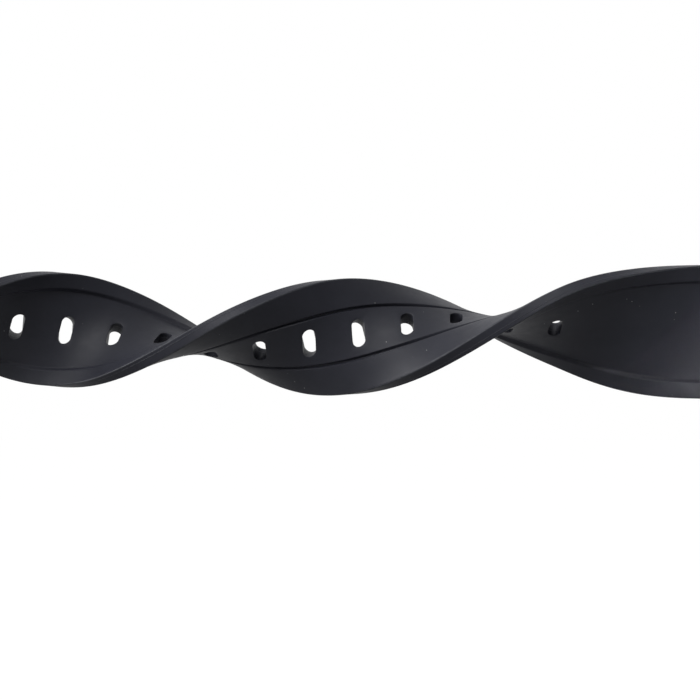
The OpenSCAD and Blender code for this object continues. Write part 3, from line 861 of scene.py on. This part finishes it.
# Prong: a flat stainless tongue with rounded edges, forged in one with the eye that turns on
# the buckle's bar between the two halves of the short half's rolled end.
prong_len, prong_t, prong_w = 12, 1.0, 1.6
prong_start, prong_tip_r, prong_edge_r = 1.0, 0.7, 0.22
eye_edge = prong_eye_w / 2
eye = [(buckle_tube_r + run_gap, eye_edge - ease)]
eye += [(buckle_tube_r + run_gap + ease, eye_edge), (prong_eye_r - 0.12, eye_edge)]
eye += [(prong_eye_r - 0.03, eye_edge - 0.03), (prong_eye_r, eye_edge - 0.12)]
eye = [(r, -z) for r, z in reversed(eye)] + eye
tongue = block(
    (prong_start, -prong_w / 2, -prong_t / 2), (prong_len, prong_w / 2, prong_t / 2)
)
far = [
    e for e in tongue.edges
    if min(v.co.x for v in e.verts) > prong_len - 0.01
    and abs(e.verts[0].co.z - e.verts[1].co.z) > 0.1
]
bmesh.ops.bevel(
    tongue, geom=far, offset=prong_tip_r, segments=8, profile=0.5, affect="EDGES",
    material=-1,
)
rims = [
    e for e in tongue.edges
    if e.calc_face_angle() > 0.6 and max(v.co.x for v in e.verts) > prong_start + 0.01
]
bmesh.ops.bevel(
    tongue, geom=rims, offset=prong_edge_r, segments=4, profile=0.5, affect="EDGES",
    material=-1,
)
prong = as_object(turned(eye, 56, along_u), "buckle_prong_skin")
worked(prong, "UNION", [as_object(tongue, "tongue")])
prong.data.transform(at_pivot)
prong_steel = finish_from(
    worked_steel, "prong_steel", {"Lines": (0.3, 5.0, 1.0), "Dulling": 0.22}, Metallic=1.0,
)
complete(prong, prong_steel, "buckle_steel", "prong", "buckle_prong", sharp=35)

# Keepers: two loops moulded in a slightly softer silicone. The first stays in the notches of
# the short half by a rib on each side; the free one slides along both halves.
keeper_t, keeper_corner_r, keeper_edge_r = 1.5, 0.8, 0.35
keeper_half = tail_half_w + slide_gap
wall_h = 2.1
wall_low = half_t - crown_drop - wall_h
keeper_low = short_z + wall_low - slide_gap
keeper_high = tail_top + slide_gap
free_keeper_at = 11.5


def keeper_loop(name, start):
    """A loop from start to start + keeper_w behind the buckle's bar, still in millimetres."""
    shape = bmesh.new()
    middle = tail_y, (keeper_high + keeper_low) / 2
    half = keeper_half, (keeper_high - keeper_low) / 2
    rings = []
    for grown in (0, keeper_t):
        radius = keeper_corner_r + grown
        ring = bmesh.ops.create_circle(
            shape, segments=48, radius=radius,
            matrix=Matrix.Rotation(math.pi / 48, 4, "Z") @ Matrix.Translation((0, 0, grown)),
        )["verts"]
        for v in ring:
            v.co.x += math.copysign(half[0] + grown - radius, v.co.x)
            v.co.y += math.copysign(half[1] + grown - radius, v.co.y)
        rings += list({e for v in ring for e in v.link_edges})
    bmesh.ops.bridge_loops(shape, edges=rings)
    for v in shape.verts:
        v.co = pivot_x - start, middle[0] + v.co.x, middle[1] + v.co.y
    wall = bmesh.ops.extrude_face_region(shape, geom=shape.faces[:])["geom"]
    bmesh.ops.translate(
        shape, verts=[v for v in wall if isinstance(v, bmesh.types.BMVert)], vec=(-keeper_w, 0, 0)
    )
    bmesh.ops.recalc_face_normals(shape, faces=shape.faces)
    rim_mark = shape.verts.layers.float.new("rim")
    rims = [
        e for e in shape.edges
        if e.calc_face_angle() > 1 and abs(e.verts[0].co.x - e.verts[1].co.x) < 0.001
    ]
    rounded = bmesh.ops.bevel(
        shape, geom=rims, offset=keeper_edge_r, segments=4, profile=0.5, affect="EDGES",
        material=-1,
    )
    mark_rims(rounded, rim_mark)
    return as_object(shape, name)


keeper_silicone = finish_from(
    moulded_skin, "keeper_silicone", {"Tone": (0.022, 0.0228, 0.03, 1.0)}, IOR=1.41,
    Specular_IOR_Level=0.25,
)
fixed_keeper = keeper_loop("fixed_keeper_skin", fixed_keeper_at)
rib_low = short_z + wall_low + edge_r
rib_high, rib_inset = rib_low + 1.6, 0.3
rib_side = tail_half_w - notch_d + run_gap, keeper_half + 0.2
rib_x = pivot_x - fixed_keeper_at - keeper_w + rib_inset, pivot_x - fixed_keeper_at - rib_inset
ribs = []
for side in (-1, 1):
    low, high = sorted(side * w for w in rib_side)
    ribs.append(as_object(block(
        (rib_x[0], tail_y + low, rib_low), (rib_x[1], tail_y + high, rib_high), rib_inset
    ), "rib"))
worked(fixed_keeper, "UNION", ribs)
free_keeper = keeper_loop("free_keeper_skin", free_keeper_at)
for piece, body, node in (
    (fixed_keeper, "short_half", "fixed_keeper"), (free_keeper, "loose_keeper", "free_keeper"),
):
    piece.data.transform(Matrix.Scale(mm, 4))
    complete(piece, keeper_silicone, "keeper_silicone", body, node)

# Studio: a grey floor well under the strap and a plain white room, with soft lamps above and at
# the sides. The camera sees the room as white and the floor as pale to white, by a painted glow on
# the floor that is weaker near the strap, so that its shadow stays; shiny surfaces see somewhat
# less, most of it behind the strap, and matt surfaces get their light from the lamps.
floor_z = -0.15
floor_white, front_white, back_white, least_white = 0.7, 0.5, 0.9, 0.005
floor_shape = bmesh.new()
bmesh.ops.create_grid(
    floor_shape, x_segments=1, y_segments=1, size=6, matrix=Matrix.Translation((-0.06, 0, floor_z))
)
floor = as_object(floor_shape, "floor")
paper = bpy.data.materials.new("paper_with_painted_glow")
paper.use_nodes = True
tree = paper.node_tree
tree.nodes.remove(tree.nodes["Principled BSDF"])
light = put(tree, "ShaderNodeLightPath").outputs
seen = put(tree, "ShaderNodeMath", {
    0: light["Is Camera Ray"], 1: times(tree, light["Is Glossy Ray"], floor_white),
}, operation="MAXIMUM")
place = put(tree, "ShaderNodeTexCoord").outputs["Object"]
fibre = noise(tree, place, 0.8, 3)
colour = tinted(tree, fibre, (0.27, 0.27, 0.27, 1), (0.29, 0.29, 0.29, 1))
lit = put(tree, "ShaderNodeBsdfDiffuse", {"Color": colour})
# Painted glow on the floor for the camera and for reflections: weakest within 0.25 m of the strap
# and full white from 1 m off, so the floor is pale grey near the strap and white further away.
apart = put(tree, "ShaderNodeVectorMath", {0: place, 1: (-0.1, 0, floor_z)}, operation="DISTANCE")
white = ranged(tree, apart.outputs["Value"], 0.25, 1.0, 0.3, 1.0)
painted_floor_glow = put(tree, "ShaderNodeEmission", {"Strength": times(tree, seen.outputs[0], white)})
both = put(tree, "ShaderNodeAddShader", {0: lit.outputs[0], 1: painted_floor_glow.outputs[0]})
tree.links.new(both.outputs[0], tree.nodes["Material Output"].inputs["Surface"])
floor.data.materials.append(paper)

room = bpy.data.worlds.new("white_room")
bpy.context.scene.world = room
room.use_nodes = True
tree = room.node_tree
light = put(tree, "ShaderNodeLightPath").outputs
way = put(tree, "ShaderNodeSeparateXYZ", {0: put(tree, "ShaderNodeTexCoord").outputs["Generated"]})
behind = ranged(tree, way.outputs["Y"], -0.15, 0.15, front_white, back_white)
strength = put(tree, "ShaderNodeMath", {
    0: times(tree, light["Is Glossy Ray"], behind), 1: light["Is Camera Ray"],
}, operation="MAXIMUM").outputs[0]
strength = put(tree, "ShaderNodeMath", {
    0: strength, 1: least_white,
}, operation="MAXIMUM").outputs[0]
tree.links.new(strength, tree.nodes["Background"].inputs["Strength"])
tree.nodes["Background"].inputs["Color"].default_value = 1, 1, 1, 1

# Lamps by what they face, degrees round to the left and up, distance and side in metres, the
# degrees they spread over and watts. The small one has a grid and lights the end at the watch.
strap_middle, watch_end = Vector((-0.0634, 0, 0)), Vector((0.006, 0, -0.006))
for name, aim, turn_left, height, far, side, spread, power in (
    ("side_lamp", strap_middle, 75, 18, 0.8, 0.5, 180, 8.2),
    ("top_lamp", strap_middle, 20, 50, 0.8, 0.5, 180, 4.4),
    ("grid_lamp", watch_end, 0, 20, 0.4, 0.04, 9, 0.0056),
    ("back_lamp", strap_middle, -160, 30, 0.8, 0.5, 180, 5.0),
):
    turn_left, height = math.radians(turn_left), math.radians(height)
    way = Vector((
        -math.sin(turn_left) * math.cos(height), -math.cos(turn_left) * math.cos(height),
        math.sin(height),
    ))
    glow = bpy.data.lights.new(name, "AREA")
    glow.shape, glow.size, glow.spread, glow.energy = "SQUARE", side, math.radians(spread), power
    lamp = bpy.data.objects.new(name, glow)
    lamp.location = aim + far * way
    lamp.rotation_euler = (-way).to_track_quat("-Z", "Y").to_euler()
    lamp.visible_camera, lamp.visible_glossy = False, name != "back_lamp"
    bpy.context.scene.collection.objects.link(lamp)

# Camera level with the strap, square on to it, about 600 mm in front.
lens = bpy.data.cameras.new("camera")
lens.sensor_width, lens.lens = 36, 209.8
camera = bpy.data.objects.new("camera", lens)
camera.location = -0.0634, -0.60175, -0.00298
camera.rotation_euler = math.pi / 2, 0, 0
bpy.context.scene.collection.objects.link(camera)
bpy.context.scene.camera = camera
bpy.context.scene.view_settings.view_transform = "Standard"
